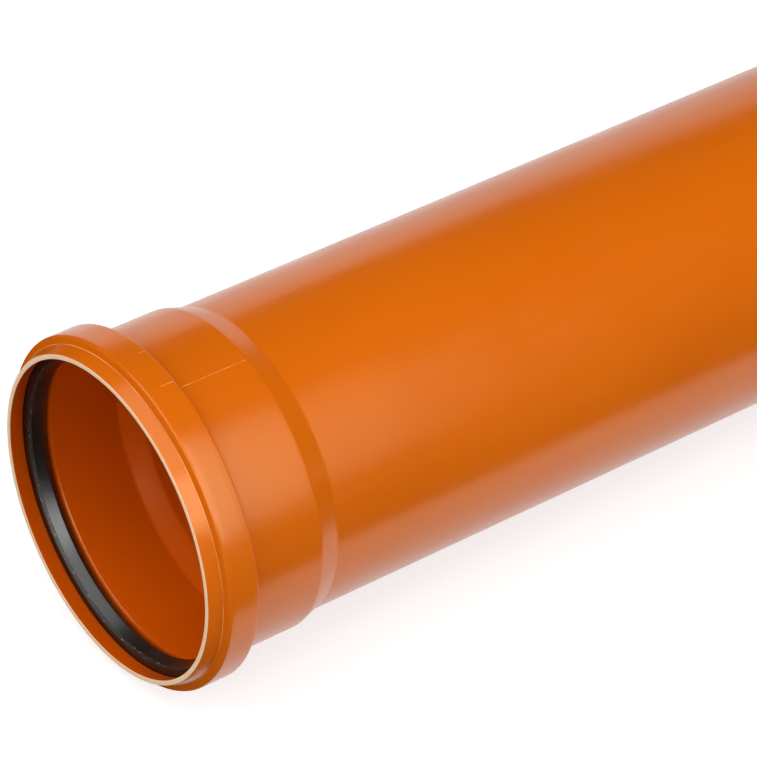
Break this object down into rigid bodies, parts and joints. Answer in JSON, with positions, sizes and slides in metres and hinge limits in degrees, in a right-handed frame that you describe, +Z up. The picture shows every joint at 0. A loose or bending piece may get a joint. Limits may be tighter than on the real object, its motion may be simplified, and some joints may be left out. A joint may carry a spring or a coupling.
{
  "type": "sewer pipe with ring-seal socket",
  "caption": "Orange-brown PVC-U sewer pipe with a belled socket, a raised seal groove, a black rubber lip seal and a chamfered spigot.",
  "frame": {"origin": "on the floor, under the middle of the pipe's box", "axes": "+X along the pipe from the socket's mouth to the spigot, +Z up; the axis falls 0.62 degrees along +X because the pipe lies on its bulge and its spigot end"},
  "size_m": [1.0816, 0.1828, 0.1829],
  "materials": {
    "pvc": "smooth extruded PVC-U, slightly glossy, orange-brown right through, paler where it is sawn",
    "rubber": "smooth black moulded rubber with a light bloom"
  },
  "bodies": {
    "root": {"pipe": "pvc", "seal_ring": "rubber"}
  },
  "joints": []
}
